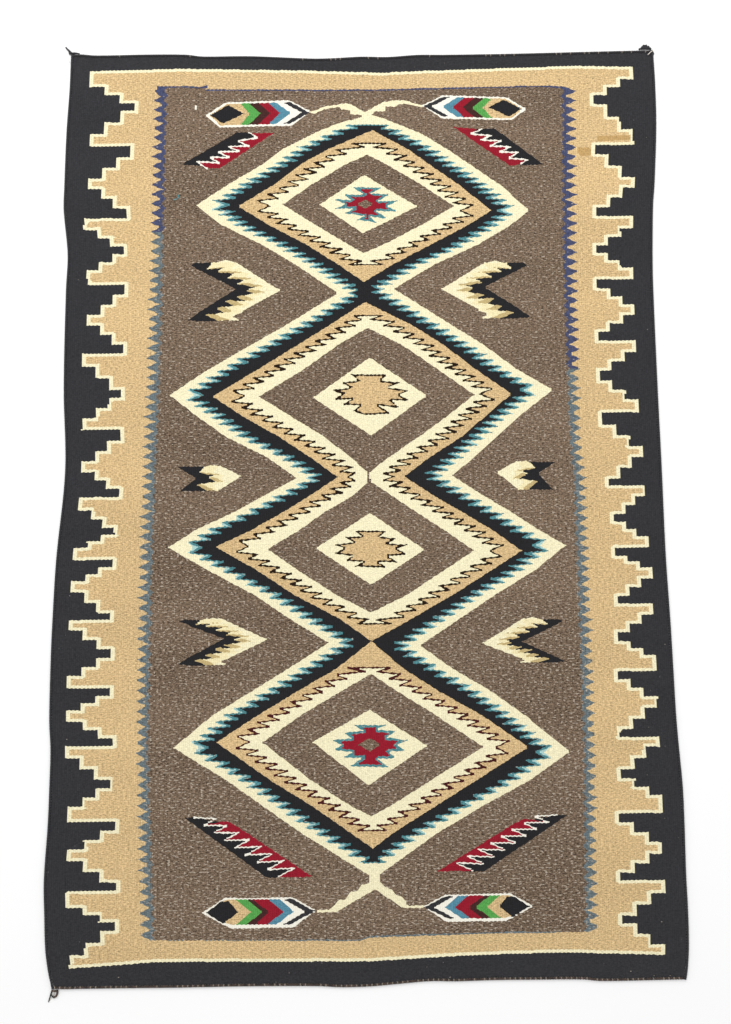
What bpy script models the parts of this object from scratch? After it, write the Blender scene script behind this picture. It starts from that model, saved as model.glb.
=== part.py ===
"""Handwoven wool rug lying flat on a floor: one tapestry-woven cloth, the cords
twined along its four edges, and the knotted cord ends at three of its corners.

+X is the weft direction (the rug's width, right in a view from above), +Y is
the warp direction (its length, far end at the top) and +Z is up. The origin is
on the floor under the middle of the rug. Sizes are in metres.
"""

import math

import bmesh
import bpy
from mathutils import Vector

# Driving dimensions
CLOTH_THICKNESS = 0.004
CORD_DIAMETER = 0.0042
GAP = 0.0003
RIM_ROUNDING = 0.0011
SIDE_STEPS = 76
END_STEPS = 56
SOLVER_ROUNDS = 4

# Outline of the finished rug, the outer side of its edge cords. A woven rug is
# never quite straight: it draws in at the waist and steps where the weaver's
# tension changed. Each row is one place where the edge changes direction.
# Columns: place along the length, left edge, right edge
SIDE_EDGES = (
    (-0.8480, -0.5480, 0.5560),
    (-0.8290, -0.5533, 0.5597),
    (-0.7870, -0.5601, 0.5634),
    (-0.7270, -0.5632, 0.5642),
    (-0.6680, -0.5652, 0.5632),
    (-0.5730, -0.5603, 0.5637),
    (-0.5130, -0.5589, 0.5629),
    (-0.4430, -0.5582, 0.5586),
    (-0.3910, -0.5613, 0.5560),
    (-0.2850, -0.5610, 0.5535),
    (-0.2220, -0.5595, 0.5519),
    (-0.1050, -0.5547, 0.5479),
    (0.0590, -0.5415, 0.5463),
    (0.2070, -0.5470, 0.5442),
    (0.3960, -0.5465, 0.5428),
    (0.4630, -0.5446, 0.5442),
    (0.5490, -0.5537, 0.5482),
    (0.5880, -0.5535, 0.5522),
    (0.7010, -0.5512, 0.5595),
    (0.7840, -0.5470, 0.5604),
    (0.8520, -0.5455, 0.5586),
)

# Columns: place across the width, near edge, far edge
END_EDGES = (
    (-0.5560, -0.8505, 0.8515),
    (-0.5250, -0.8522, 0.8532),
    (-0.5000, -0.8518, 0.8508),
    (-0.3960, -0.8513, 0.8517),
    (-0.3260, -0.8512, 0.8508),
    (-0.2970, -0.8508, 0.8470),
    (-0.2060, -0.8499, 0.8467),
    (-0.0850, -0.8506, 0.8408),
    (-0.0450, -0.8528, 0.8415),
    (0.0060, -0.8519, 0.8438),
    (0.0550, -0.8482, 0.8427),
    (0.1100, -0.8440, 0.8463),
    (0.1560, -0.8446, 0.8460),
    (0.2220, -0.8431, 0.8463),
    (0.2910, -0.8430, 0.8470),
    (0.3770, -0.8433, 0.8484),
    (0.4080, -0.8462, 0.8490),
    (0.5250, -0.8450, 0.8510),
    (0.5620, -0.8446, 0.8512),
)

# Cord ends knotted off at the corners, lying on the floor. A knot's place is
# measured outwards from the end of the rug at that corner.
# Columns: length, width, height of the knot
KNOT_SIZE = {
    "top_left": (0.0060, 0.0050, 0.0040),
    "top_right": (0.0150, 0.0090, 0.0065),
    "bottom_left": (0.0080, 0.0060, 0.0045),
}

# Columns: across and outwards from the knot's middle, for the bends of one
# strand, then its thickness at the root and at the tip
TOP_LEFT_STRANDS = (
    (((0.000, 0.001), (-0.004, 0.006), (-0.008, 0.010), (-0.0105, 0.0135)), 0.0030, 0.0014),
    (((0.001, 0.000), (0.005, 0.0025), (0.011, 0.003), (0.016, 0.0022)), 0.0012, 0.0007),
)
TOP_RIGHT_STRANDS = (
    (((0.000, 0.000), (-0.006, 0.003), (-0.010, 0.0035), (-0.0125, 0.0020)), 0.0030, 0.0012),
    (((0.000, 0.001), (-0.004, 0.005), (-0.007, 0.0085), (-0.0085, 0.0110)), 0.0028, 0.0012),
    (((0.001, 0.001), (0.000, 0.005), (-0.001, 0.0085), (0.000, 0.0112)), 0.0026, 0.0012),
    (((0.001, 0.001), (0.004, 0.005), (0.006, 0.0080), (0.0085, 0.0100)), 0.0028, 0.0012),
    (((0.001, 0.000), (0.006, 0.003), (0.009, 0.0030), (0.0115, 0.0015)), 0.0030, 0.0012),
)
BOTTOM_LEFT_STRANDS = (
    (((-0.001, 0.000), (-0.005, 0.005), (-0.006, 0.011), (-0.003, 0.0150), (0.000, 0.0162)),
     0.0030, 0.0026),
    (((0.001, 0.000), (0.006, 0.004), (0.008, 0.009), (0.005, 0.0145), (-0.001, 0.0160)),
     0.0030, 0.0026),
    (((0.000, 0.001), (-0.002, 0.007), (-0.006, 0.0150), (-0.0085, 0.0200), (-0.0100, 0.0230)),
     0.0022, 0.0010),
    (((0.000, 0.001), (0.002, 0.006), (0.002, 0.0120), (0.0035, 0.0170), (0.0030, 0.0205)),
     0.0018, 0.0009),
)

# Columns: node name, corner, place across the width, side of the rug (1 far,
# -1 near), strands
CORNER_TASSELS = (
    ("tassel_top_left", "top_left", -0.5455, 1, TOP_LEFT_STRANDS),
    ("tassel_top_right", "top_right", 0.5440, 1, TOP_RIGHT_STRANDS),
    ("tassel_bottom_left", "bottom_left", -0.5430, -1, BOTTOM_LEFT_STRANDS),
)
KNOT_LIFT = 0.0002
KNOT_SEGMENTS = 14
KNOT_RINGS = 8
STRAND_STEPS = 12

# Columns: base colour, roughness
FINISHES = {
    "cloth": ((0.165, 0.125, 0.094), 0.95),
    "end_cord": ((0.075, 0.055, 0.045), 0.9),
    "side_cord": ((0.036, 0.036, 0.040), 0.9),
    "tassel": ((0.060, 0.046, 0.038), 0.9),
}


def clear_scene():
    for thing in list(bpy.data.objects):
        bpy.data.objects.remove(thing, do_unlink=True)


def make_finish(name):
    colour, roughness = FINISHES[name]
    material = bpy.data.materials.new(name + "_wool")
    material.use_nodes = True
    shader = material.node_tree.nodes["Principled BSDF"]
    shader.inputs["Base Color"].default_value = (*colour, 1.0)
    shader.inputs["Roughness"].default_value = roughness
    shader.inputs["Metallic"].default_value = 0.0
    material.diffuse_color = (*colour, 1.0)
    return material


def add_object(name, data, finish):
    thing = bpy.data.objects.new(name, data)
    bpy.context.scene.collection.objects.link(thing)
    data.materials.append(finish)
    return thing


def slope_at(table, row, column):
    """Slope of a smooth curve through the table's rows, at one row."""
    before = max(row - 1, 0)
    after = min(row + 1, len(table) - 1)
    rise = table[after][column] - table[before][column]
    return rise / (table[after][0] - table[before][0])


def read_curve(table, column, place):
    """Height and slope of the smooth curve through one column of a table."""
    place = min(max(place, table[0][0]), table[-1][0])
    row = 0
    while row < len(table) - 2 and place > table[row + 1][0]:
        row += 1
    span = table[row + 1][0] - table[row][0]
    t = (place - table[row][0]) / span
    start = table[row][column]
    end = table[row + 1][column]
    start_slope = slope_at(table, row, column) * span
    end_slope = slope_at(table, row + 1, column) * span
    height = (
        (2 * t**3 - 3 * t**2 + 1) * start
        + (t**3 - 2 * t**2 + t) * start_slope
        + (3 * t**2 - 2 * t**3) * end
        + (t**3 - t**2) * end_slope
    )
    slope = (
        (6 * t**2 - 6 * t) * (start - end)
        + (3 * t**2 - 4 * t + 1) * start_slope
        + (3 * t**2 - 2 * t) * end_slope
    ) / span
    return height, slope


def inset_edge(table, column, place, inset, inward):
    """One point of an edge moved inwards, square to the edge."""
    height, slope = read_curve(table, column, place)
    return height + inward * inset * math.hypot(1.0, slope)


def rug_point(u, v, side_inset, end_inset):
    """Point of the rug at u across and v along, each 0 to 1, inside its edges."""
    x = SIDE_EDGES[0][1] * (1 - u) + SIDE_EDGES[0][2] * u
    y = END_EDGES[0][1] * (1 - v) + END_EDGES[0][2] * v
    for _ in range(SOLVER_ROUNDS):
        left = inset_edge(SIDE_EDGES, 1, y, side_inset, 1)
        right = inset_edge(SIDE_EDGES, 2, y, side_inset, -1)
        x = left * (1 - u) + right * u
        near = inset_edge(END_EDGES, 1, x, end_inset, 1)
        far = inset_edge(END_EDGES, 2, x, end_inset, -1)
        y = near * (1 - v) + far * v
    return Vector((x, y, 0.0))


def outline(inset):
    """The rug's outline, counter-clockwise from above, moved inwards."""
    points = []
    for step in range(END_STEPS):
        points.append(rug_point(step / END_STEPS, 0.0, inset, inset))
    for step in range(SIDE_STEPS):
        points.append(rug_point(1.0, step / SIDE_STEPS, inset, inset))
    for step in range(END_STEPS):
        points.append(rug_point(1.0 - step / END_STEPS, 1.0, inset, inset))
    for step in range(SIDE_STEPS):
        points.append(rug_point(0.0, 1.0 - step / SIDE_STEPS, inset, inset))
    return points


def make_cloth():
    """The woven cloth: a flat slab with a soft rim inside the edge cords."""
    edge = CORD_DIAMETER + GAP
    # Columns: distance in from the cloth's edge, height
    rim = (
        (RIM_ROUNDING, 0.0),
        (0.0, RIM_ROUNDING),
        (0.0, CLOTH_THICKNESS - RIM_ROUNDING),
        (RIM_ROUNDING, CLOTH_THICKNESS),
    )
    mesh = bpy.data.meshes.new("rug_cloth")
    build = bmesh.new()
    rings = []
    for inset, height in rim:
        loop = outline(edge + inset)
        rings.append([build.verts.new((p.x, p.y, height)) for p in loop])
    for lower, upper in zip(rings, rings[1:]):
        for index in range(len(lower)):
            after = (index + 1) % len(lower)
            build.faces.new((lower[index], lower[after], upper[after], upper[index]))
    build.faces.new(list(reversed(rings[0])))
    build.faces.new(rings[-1])
    bmesh.ops.triangulate(build, faces=[face for face in build.faces if len(face.verts) > 4])
    build.to_mesh(mesh)
    build.free()
    add_object("rug_cloth", mesh, make_finish("cloth"))


def make_cord(name, points, finish):
    """One edge cord: a round tube that lies on the floor along its points."""
    curve = bpy.data.curves.new(name, "CURVE")
    curve.dimensions = "3D"
    curve.bevel_depth = CORD_DIAMETER / 2
    curve.bevel_resolution = 2
    curve.use_fill_caps = True
    spline = curve.splines.new("POLY")
    spline.points.add(len(points) - 1)
    for target, point in zip(spline.points, points):
        target.co = (point.x, point.y, CORD_DIAMETER / 2, 1.0)
    spline.use_smooth = True
    add_object(name, curve, finish)


def make_edge_cords():
    """Side cords run the whole length; end cords lie between them."""
    half = CORD_DIAMETER / 2
    side_finish = make_finish("side_cord")
    end_finish = make_finish("end_cord")
    for name, u in (("side_cord_left", 0.0), ("side_cord_right", 1.0)):
        points = [rug_point(u, step / SIDE_STEPS, half, 0.0) for step in range(SIDE_STEPS + 1)]
        make_cord(name, points, side_finish)
    clear_of_sides = CORD_DIAMETER + GAP
    for name, v in (("end_cord_bottom", 0.0), ("end_cord_top", 1.0)):
        points = [
            rug_point(step / END_STEPS, v, clear_of_sides, half) for step in range(END_STEPS + 1)
        ]
        make_cord(name, points, end_finish)


def make_knot(name, middle, size):
    """A flattened knot of cord, lying on its level underside."""
    mesh = bpy.data.meshes.new(name)
    build = bmesh.new()
    bmesh.ops.create_uvsphere(
        build, u_segments=KNOT_SEGMENTS, v_segments=KNOT_RINGS, radius=0.5
    )
    length, width, height = size
    for vert in build.verts:
        level = max(vert.co.z, -0.25) + 0.25
        vert.co = Vector((
            middle.x + vert.co.x * length,
            middle.y + vert.co.y * width,
            KNOT_LIFT + level * height / 0.75,
        ))
    build.to_mesh(mesh)
    build.free()
    return mesh


def smooth_path(bends, steps):
    """Points on a smooth curve through a strand's bends."""
    points = []
    last = len(bends) - 1
    for step in range(steps + 1):
        place = last * step / steps
        row = min(int(place), last - 1)
        t = place - row
        before = bends[max(row - 1, 0)]
        start = bends[row]
        end = bends[row + 1]
        after = bends[min(row + 2, last)]
        point = []
        for axis in range(2):
            leave = (end[axis] - before[axis]) / 2
            arrive = (after[axis] - start[axis]) / 2
            point.append(
                (2 * t**3 - 3 * t**2 + 1) * start[axis]
                + (t**3 - 2 * t**2 + t) * leave
                + (3 * t**2 - 2 * t**3) * end[axis]
                + (t**3 - t**2) * arrive
            )
        points.append(Vector(point))
    return points


def make_strand(name, origin, outward, bends, root, tip):
    """A four-sided strand of yarn that lies level on the floor."""
    path = smooth_path(bends, STRAND_STEPS)
    mesh = bpy.data.meshes.new(name)
    build = bmesh.new()
    rings = []
    for index, point in enumerate(path):
        ahead = path[min(index + 1, STRAND_STEPS)]
        behind = path[max(index - 1, 0)]
        along = (ahead - behind).normalized()
        across = Vector((-along.y, along.x))
        thickness = root + (tip - root) * index / STRAND_STEPS
        ring = []
        for side, height in ((-0.5, 0.0), (0.5, 0.0), (0.36, 0.9), (-0.36, 0.9)):
            place = point + across * side * thickness
            ring.append(build.verts.new((
                origin.x + place.x,
                origin.y + outward * place.y,
                height * thickness,
            )))
        rings.append(ring)
    for lower, upper in zip(rings, rings[1:]):
        for side in range(4):
            after = (side + 1) % 4
            build.faces.new((lower[side], lower[after], upper[after], upper[side]))
    build.faces.new(list(reversed(rings[0])))
    build.faces.new(rings[-1])
    bmesh.ops.recalc_face_normals(build, faces=build.faces)
    build.to_mesh(mesh)
    build.free()
    guide = bpy.data.objects.new(name, mesh)
    guide.hide_render = True
    guide.display_type = "WIRE"
    return guide


def make_tassel(name, corner, across, outward, strands):
    """A knotted cord end: strands with their roots in one knot."""
    size = KNOT_SIZE[corner]
    column = 2 if outward > 0 else 1
    edge, _ = read_curve(END_EDGES, column, across)
    middle = Vector((across, edge + outward * (GAP + size[1] / 2), 0.0))
    tassel = add_object(name, make_knot(name, middle, size), make_finish("tassel"))
    group = bpy.data.collections.new(name + "_strands")
    bpy.context.scene.collection.children.link(group)
    for index, (bends, root, tip) in enumerate(strands):
        guide = make_strand(f"{name}_strand_{index}", middle, outward, bends, root, tip)
        group.objects.link(guide)
    join = tassel.modifiers.new("strands", "BOOLEAN")
    join.operation = "UNION"
    join.operand_type = "COLLECTION"
    join.collection = group
    join.solver = "EXACT"


def main():
    clear_scene()
    make_cloth()
    make_edge_cords()
    for row in CORNER_TASSELS:
        make_tassel(*row)


main()
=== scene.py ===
"""Looks of the handwoven wool rug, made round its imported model.

The cloth is a weft-faced tapestry weave. Its warps run along the rug (+Y) and
show as ribs, and the coloured wefts cover them completely. Every figure is
painted as an outline on the warps, then rounded to whole beads of weft, as a
weaver does it, and the beads become the faces of one closed mesh.

Sizes named on their own are in metres, and the tables of places in millimetres,
in one frame: +X right, +Y towards the far end, origin under the rug's middle.
"""

import math

import bpy
import numpy as np
from mathutils import Matrix, Vector


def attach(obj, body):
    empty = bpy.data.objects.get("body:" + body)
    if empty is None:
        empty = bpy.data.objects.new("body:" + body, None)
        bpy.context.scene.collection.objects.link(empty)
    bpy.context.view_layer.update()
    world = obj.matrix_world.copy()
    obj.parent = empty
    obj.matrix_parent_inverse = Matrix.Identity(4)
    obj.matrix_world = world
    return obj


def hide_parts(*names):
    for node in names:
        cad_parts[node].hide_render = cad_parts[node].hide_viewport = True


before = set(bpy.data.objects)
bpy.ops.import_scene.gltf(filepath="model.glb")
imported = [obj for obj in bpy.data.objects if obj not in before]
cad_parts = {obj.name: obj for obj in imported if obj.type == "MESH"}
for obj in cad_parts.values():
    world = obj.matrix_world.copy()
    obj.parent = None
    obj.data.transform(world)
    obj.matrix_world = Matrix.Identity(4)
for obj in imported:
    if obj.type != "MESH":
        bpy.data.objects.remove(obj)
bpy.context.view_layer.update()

MM = 0.001
TOLERANCE = 1e-6

# Outline of the finished rug and its cords, as in the model's own source
CLOTH_THICKNESS = 0.004
CORD_DIAMETER = 0.0042
GAP = 0.0003
SOLVER_ROUNDS = 5
ROUGH_SIZE = (1.1, 1.7)
CLOTH_INSET = CORD_DIAMETER + GAP
CORD_INSET = CLOTH_INSET / 2

# Columns: place along the length, left edge, right edge
SIDE_EDGES = (
    (-848, -548, 556), (-829, -553.3, 559.7), (-787, -560.1, 563.4), (-727, -563.2, 564.2),
    (-668, -565.2, 563.2), (-573, -560.3, 563.7), (-513, -558.9, 562.9), (-443, -558.2, 558.6),
    (-391, -561.3, 556), (-285, -561, 553.5), (-222, -559.5, 551.9), (-105, -554.7, 547.9),
    (59, -541.5, 546.3), (207, -547, 544.2), (396, -546.5, 542.8), (463, -544.6, 544.2),
    (549, -553.7, 548.2), (588, -553.5, 552.2), (701, -551.2, 559.5), (784, -547, 560.4),
    (852, -545.5, 558.6),
)

# Columns: place across the width, near edge, far edge
END_EDGES = (
    (-556, -850.5, 851.5), (-525, -852.2, 853.2), (-500, -851.8, 850.8), (-396, -851.3, 851.7),
    (-326, -851.2, 850.8), (-297, -850.8, 847), (-206, -849.9, 846.7), (-85, -850.6, 840.8),
    (-45, -852.8, 841.5), (6, -851.9, 843.8), (55, -848.2, 842.7), (110, -844, 846.3),
    (156, -844.6, 846), (222, -843.1, 846.3), (291, -843, 847), (377, -843.3, 848.4),
    (408, -846.2, 849), (525, -845, 851), (562, -844.6, 851.2),
)

# Weave: warps across the rug, passes of weft along it, two passes to a bead
WARPS = 300
PASSES = 1616
BEADS = PASSES // 2
RIB_DEPTH = 0.0006
GRID_PASSES = 110
EDGE_GRID_PASSES = 22
GRID_CLEARANCE = 8
END_CLEARANCE = 10
MERGE_PASSES = 5.2
MERGE_ROOM = 0.25
LONGEST_EDGE = 40.0
WARP_WIDTH = 3.7

# Border: cream outline, tan band with terraced sides, brown field.
# Columns of a terrace: x, upper y, lower y, from the far end to the near end
OUTLINE_WIDTH = 5.2
SIDE_EXTRA = 1.8
LEAST_STEP = 6
TOP_LINE = [(-326, 822), (-85, 816), (33, 811), (249, 817), (414, 821)]
BOTTOM_LINE = [(478, -801), (340, -797), (185, -800), (7, -809), (-203, -808), (-360, -807)]
LEFT_TERRACE = (
    (-508, 819, 788), (-422, 755, 740), (-508, 695, 671), (-430, 671, 649),
    (-509, 608, 588), (-436, 550, 531), (-515, 531, 509), (-440, 477, 462),
    (-507, 432, 404), (-436, 404, 385), (-505, 347, 327), (-438, 291, 274),
    (-513, 274, 250), (-440, 206, 191), (-512, 153, 132), (-441, 132, 111),
    (-511, 74, 54), (-443, 23, 8), (-515, 8, -16), (-450, -48, -61),
    (-523, -84, -106), (-452, -106, -119), (-527, -144, -164), (-455, -202, -214),
    (-528, -214, -232), (-454, -266, -282), (-531, -313, -335), (-453, -335, -349),
    (-530, -374, -394), (-447, -423, -437), (-531, -437, -458), (-452, -495, -510),
    (-525, -542, -568), (-440, -568, -583), (-524, -615, -635), (-438, -672, -686),
    (-525, -686, -715), (-438, -740, -754), (-517, -795, -817),
)
RIGHT_TERRACE = (
    (520, 818, 794), (443, 763, 745), (515, 695, 665), (443, 665, 647),
    (516, 602, 582), (442, 544, 527), (508, 527, 503), (439, 471, 456),
    (505, 428, 406), (439, 406, 389), (506, 358, 338), (438, 307, 290),
    (507, 290, 268), (438, 234, 215), (507, 180, 156), (441, 156, 133),
    (513, 93, 73), (450, 34, 21), (515, 21, 1), (457, -31, -45),
    (517, -72, -92), (457, -92, -107), (521, -128, -148), (458, -179, -193),
    (522, -193, -213), (456, -244, -260), (522, -285, -313), (453, -313, -327),
    (523, -358, -378), (455, -415, -429), (524, -429, -446), (454, -485, -501),
    (527, -530, -561), (449, -561, -577), (523, -611, -631), (448, -663, -676),
    (526, -676, -698), (449, -736, -749), (522, -785, -803),
)

# Columns of a field side: y, x of the points in the tan, x of the points inside
FIELD_PITCH = 18.4
FIELD_LEFT = (
    (788, -387, -369), (281, -395, -375), (-89, -406, -386), (-445, -406, -390),
    (-771, -395, -376),
)
FIELD_RIGHT = (
    (780, 411, 390), (464, 404, 383), (106, 401, 386), (32, 408, 391), (-275, 411, 394),
    (-451, 411, 395), (-763, 406, 389),
)
FIELD_TOP = [(-380, 788), (-289, 787), (-288, 781), (21, 778), (206, 781), (350, 783), (392, 780)]
FIELD_BOTTOM = [(262, -764), (7, -769), (-11, -775)]
VIOLET_ENDS = (500, 232)
HONEY_BANDS = (
    ((446, 683), (509, 684), (509, 675), (446, 672)),
    ((409, 660), (430, 661), (437, 657), (433, 645), (412, 643)),
)
FIELD_LINE = 2.8
SEAM_REACH = 8.0
SEAM_LEAST = 1.5
VIOLET_DEPTH = 20.0

# The four joined diamonds: cream, tan and brown ones inside each other, with teal
# teeth in the cream and a dark zigzag in the tan. Corners: left, far, right, near
OUTER_DIAMONDS = (
    ((-306, 555), (21, 741), (316, 540), (0, 355)),
    ((-352, 195), (17, 421), (351, 199), (31, -69)),
    ((-352, -85), (38, 127), (367, -87), (26, -314)),
    ((-339, -441), (21, -206), (364, -454), (15, -669)),
)
TAN_DIAMONDS = (
    ((-227, 552), (25, 698), (245, 540), (6, 405)),
    ((-273, 192), (8, 367), (275, 192), (16, -5)),
    ((-266, -84), (16, 82), (287, -96), (14, -256)),
    ((-263, -432), (14, -256), (291, -445), (13, -618)),
)
BROWN_DIAMONDS = (
    ((-144, 555), (15, 650), (176, 549), (6, 460)),
    ((-188, 191), (12, 318), (207, 191), (12, 48)),
    ((-172, -89), (13, 34), (201, -95), (14, -205)),
    ((-181, -433), (13, -314), (211, -444), (11, -563)),
)
LOOSE_SPECKS = (
    ("white", -311.0, 742.0, 5.5, 6.5), ("teal", -349.0, 565.0, 9.0, 2.4),
    ("teal", -343.0, 570.0, 4.0, 4.4), ("violet", -292.0, 783.0, 6.0, 5.0),
)
SMALL_DIAMONDS = (
    ((-75, 554), (8, 611), (107, 549), (5, 498)),
    ((-89, 188), (16, 262), (120, 190), (17, 117)),
    ((-85, -88), (14, -25), (112, -93), (14, -155)),
    ((-92, -433), (10, -377), (111, -441), (7, -509)),
)
CORNERS_OF = (OUTER_DIAMONDS, TAN_DIAMONDS, BROWN_DIAMONDS)

# Edges between the corners at key rows. Columns: y at x = 0, then x of the outer,
# tan and brown edge at the left and of the brown, tan and outer edge at the right
ROW_SLOPE = 0.0094
KEY_ROWS = (
    (
        (661, -144, -59, None, None, 91, 165), (632, -181, -110, -25, 50, 130, 206),
        (593, -245, -159, -89, 113, 184, 261), (515, -260, -172, -84, 116, 203, 282),
        (477, -185, -101, -23, 44, 132, 220), (439, -122, -42, None, None, 61, 139),
    ),
    (
        (324, -137, -57, None, None, 93, 167), (287, -201, -115, -41, 74, 151, 225),
        (240, -281, -190, -106, 141, 211, 287), (156, -306, -223, -135, 160, 230, 292),
        (115, -249, -152, -69, 105, 182, 247), (76, -172, -93, -20, 47, 122, 203),
    ),
    (
        (8, -175, -93, -15, 52, 127, 218), (-23, -232, -143, -68, 97, 181, 270),
        (-56, -302, -201, -114, 148, 235, 320), (-128, -282, -193, -119, 148, 233, 311),
        (-174, -195, -123, -47, 77, 160, 236), (-215, -134, -44, None, None, 88, 174),
    ),
    (
        (-304, -134, -48, None, None, 70, 158), (-343, -197, -116, -38, 57, 131, 225),
        (-387, -270, -189, -113, 128, 210, 287), (-501, -244, -166, -94, 116, 196, 290),
        (-544, -182, -95, -26, 46, 126, 209), (-590, -115, -27, None, None, 51, 129),
    ),
)
FAR_CAP = (
    (-83, 694), (-40, 712), (3, 723), (23, 728), (44, 722), (62, 714), (88, 703), (124, 686),
)
CREAM_NECK = ((4, -655), (25, -655), (23, -688), (7, -688))
BROWN_NECK = ((10, 52), (14, 52), (15, 30), (11, 30))

# Teeth: height of one along each diamond, then the distance across from the edge
# they follow to their tips and to their noses
TOOTH_PITCHES = (10.4, 11.3, 11.6, 11.8)
TOOTH_TILT = 0.10
FIRST_TOOTH = 0.9
LAST_TOOTH = 0.85
TOOTH_REACHES = (("mist", 17.0, 46.0), ("teal", 17.5, 55.0), ("ink", 23.0, 61.0))
TEAL_LINE = 2.3
LINE_PITCH = 11.6
LINE_REACH = (18.5, 58.5)
LINE_WIDTH = 2.9
# Least distance from the middle: at the far end, at the near end and at a waist
TEAL_NECK = (22.0, 7.0, 13.0)
LINE_NECK = (7.0, 7.0, 25.0)
END_REACH = 12.0
WAIST_STEP = 0.5
# Columns: y, x of the middle of the diamonds
MIDDLE_LINE = ((708, 20), (385, 8), (35, 13), (-262, 17), (-642, 14))
# Columns of a zigzag: its diamonds, y of its level far and near ends, colour
ZIGZAGS = (((0,), 672, 438, "line"), ((1, 2), 341, -225, "line"), ((3,), -303, -587, "plum"))

# Wools: colour as a screen shows it, then the spread from bead to bead, along the
# yarn, in its grain and in broad bands, and the noise at which flecks go pale or dark
WOOLS = {
    "black": ((54, 54, 57), 0.24, 0.24, 1.5, 0.25, 0.84, 0),
    "brown": ((119, 101, 84), 0.2, 0.3, 6, 0.65, 0.635, 0),
    "tan": ((213, 184, 136), 0.1, 0.18, 2.9, 0.25, 0, 0.165),
    "cream": ((243, 235, 198), 0.06, 0.09, 1.2, 0.075, 0, 0),
    "white": ((246, 242, 228), 0.04, 0.06, 0.3, 0, 0, 0),
    "teal": ((82, 137, 143), 0.24, 0.6, 2, 0, 0.66, 0),
    "mist": ((174, 210, 206), 0.16, 0.3, 1, 0, 0.66, 0),
    "red": ((150, 30, 46), 0.16, 0.18, 0.9, 0.15, 0, 0),
    "green": ((90, 164, 82), 0.2, 0.24, 1.2, 0, 0, 0),
    "blue": ((88, 140, 160), 0.2, 0.24, 1.2, 0, 0, 0),
    "violet": ((74, 79, 108), 0.28, 0.48, 2.2, 0, 0.7, 0),
    "slate": ((106, 118, 122), 0.28, 0.48, 2.4, 0, 0.66, 0.3),
    "line": ((40, 27, 18), 0.24, 0.3, 0.9, 0, 0, 0),
    "plum": ((72, 28, 28), 0.24, 0.3, 0.9, 0, 0, 0),
    "umber": ((70, 42, 40), 0.24, 0.3, 0.9, 0, 0, 0),
    "ink": ((40, 39, 41), 0.16, 0.18, 0.7, 0, 0, 0),
    "straw": ((241, 229, 184), 0.06, 0.12, 0.8, 0, 0, 0),
    "olive": ((196, 175, 124), 0.1, 0.18, 1.6, 0, 0, 0),
    "honey": ((194, 160, 106), 0.1, 0.18, 1.6, 0, 0, 0),
}
COLOUR_ORDER = tuple(WOOLS)
UNDERSIDE_COLOURS = (("mist", "teal"), ("olive", "straw"), ("honey", "tan"), ("umber", "ink"))

painting = []


def paint(colour, points):
    """Adds one figure, an outline in millimetres, over those already there."""
    painting.append((COLOUR_ORDER.index(colour), [tuple(point) for point in points]))


def mix(start, end, share):
    return tuple(a + (b - a) * share for a, b in zip(start, end))


# Corners of an outline moved inwards: how far a sharp one may go, and how open a
# nook may be, and how wide, where it turns blunt
LONGEST_CORNER = 6.0
NOOK_FACING = 0.2
NOOK_SHARE = 0.5
LEAST_TURN = 1e-3


def inset(points, distance):
    """A closed outline moved inwards: sharp at its points, blunt in its nooks."""
    outline = [np.array(point, float) for point in points]
    turned = 0.0
    for index, point in enumerate(outline):
        after = outline[(index + 1) % len(outline)]
        turned += point[0] * after[1] - point[1] * after[0]
    hand = 1.0 if turned > 0 else -1.0
    moved = []
    for index, point in enumerate(outline):
        arrive = point - outline[index - 1]
        leave = outline[(index + 1) % len(outline)] - point
        if min(np.hypot(*arrive), np.hypot(*leave)) < TOLERANCE:
            continue
        arrive /= np.hypot(*arrive)
        leave /= np.hypot(*leave)
        first = hand * np.array((-arrive[1], arrive[0]))
        second = hand * np.array((-leave[1], leave[0]))
        bend = hand * (arrive[0] * leave[1] - arrive[1] * leave[0])
        facing = float(first @ second)
        if bend < 0 and facing < NOOK_FACING:
            moved.append(point + distance * (first + NOOK_SHARE * arrive))
            moved.append(point + distance * (second - NOOK_SHARE * leave))
        else:
            corner = (first + second) / max(1.0 + facing, LEAST_TURN)
            corner *= min(1.0, LONGEST_CORNER / np.hypot(*corner))
            moved.append(point + distance * corner)
    return [tuple(point) for point in moved]


LINE_OVERLAP = 1.0


def stroke(colour, points, width):
    """A closed line of even height along a zigzag, with no break where it is steep."""
    for index, (ax, ay) in enumerate(points):
        bx, by = points[(index + 1) % len(points)]
        steep = abs(by - ay) / max(abs(bx - ax), WARP_WIDTH)
        half = max(width, steep * WARP_WIDTH + LINE_OVERLAP) / 2
        reach = WARP_WIDTH / 2 if steep > 1 else 0.0
        way = reach if bx > ax else -reach
        paint(colour, (
            (ax - way, ay + half), (bx + way, by + half),
            (bx + way, by - half), (ax - way, ay - half),
        ))


def edge_path(index, level, side):
    """Points of a diamond's left (0) or right (1) edge, from far to near.

    level is 0 for the outer edge, 1 for the tan and 2 for the brown one.
    """
    corners = CORNERS_OF[level][index]
    column = 1 + level if side == 0 else 6 - level
    points = [corners[1], corners[2 * side], corners[3]]
    for row in KEY_ROWS[index]:
        if row[column] is not None:
            points.append((row[column], row[0] - ROW_SLOPE * row[column]))
    return sorted(points, key=lambda point: -point[1])


def edge_x(path, y):
    """x on an edge at height y."""
    return read_row([(point[1], point[0]) for point in path], y, 1)


def diamond(index, level):
    """Outline of one diamond of the column, clockwise from its far corner."""
    right = edge_path(index, level, 1)
    left = edge_path(index, level, 0)
    if index == 0 and level == 0:
        highest = FAR_CAP[0][1]
        right = [point for point in right if point[1] < highest]
        left = list(FAR_CAP[::-1]) + [point for point in left if point[1] < highest]
        return right + left[::-1]
    return right + left[-2:0:-1]


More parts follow.
